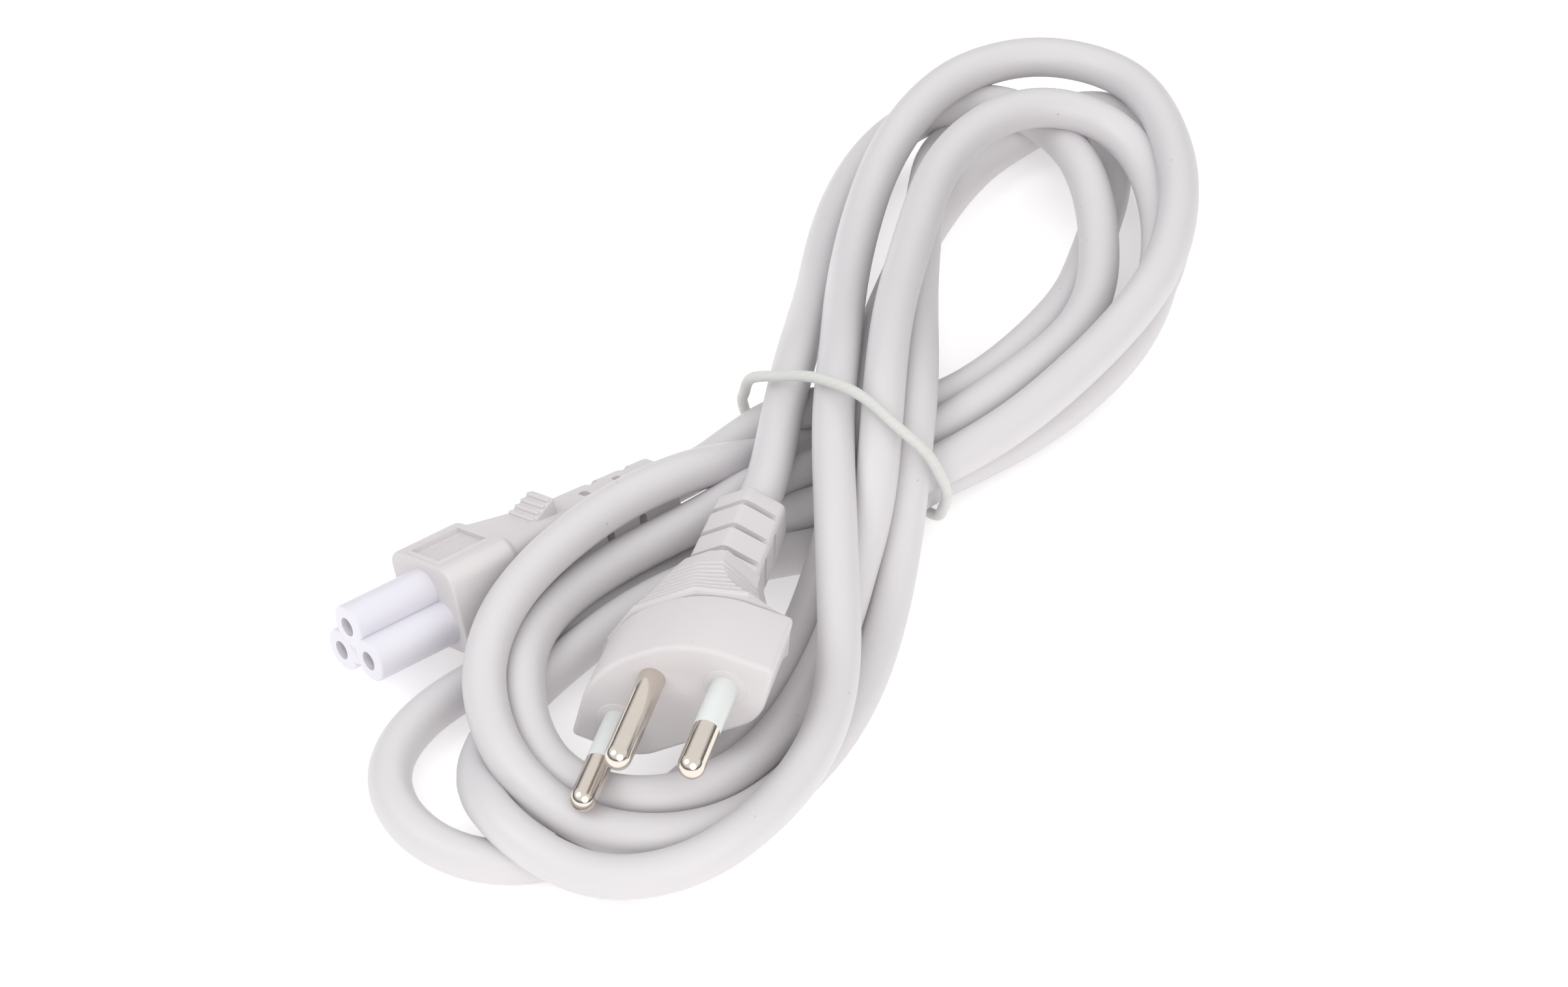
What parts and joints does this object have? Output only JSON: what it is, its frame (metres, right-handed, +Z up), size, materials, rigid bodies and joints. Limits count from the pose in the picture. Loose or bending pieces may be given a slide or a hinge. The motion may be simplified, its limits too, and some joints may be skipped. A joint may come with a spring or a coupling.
{
  "type": "power cord",
  "caption": "White mains lead wound into a flat figure-of-eight hank under an elastic tie, with a flat pin plug and a cloverleaf connector.",
  "frame": {"origin": "on the floor, under the middle of the whole bundle's outline", "axes": "+X along the hank towards the end without plug and connector, +Y across it, +Z up"},
  "size_m": [0.1998, 0.0804, 0.0317],
  "materials": {
    "cord_jacket": "satin flexible PVC",
    "moulding": "satin moulded PVC",
    "insert": "hard satin plastic",
    "pin_sleeve": "smooth hard plastic",
    "pin_plating": "nickel-plated, bright",
    "contact": "bare spring brass",
    "elastic": "matt round elastic"
  },
  "bodies": {
    "root": {"cord": "cord_jacket", "plug_body": "moulding", "pin_earth": "pin_plating", "pin_line": "pin_plating", "pin_neutral": "pin_plating", "sleeve_line": "pin_sleeve", "sleeve_neutral": "pin_sleeve", "connector_body": "moulding", "connector_nose": "insert", "contact_earth": "contact", "contact_line": "contact", "contact_neutral": "contact", "tie_band": "elastic"}
  },
  "joints": []
}
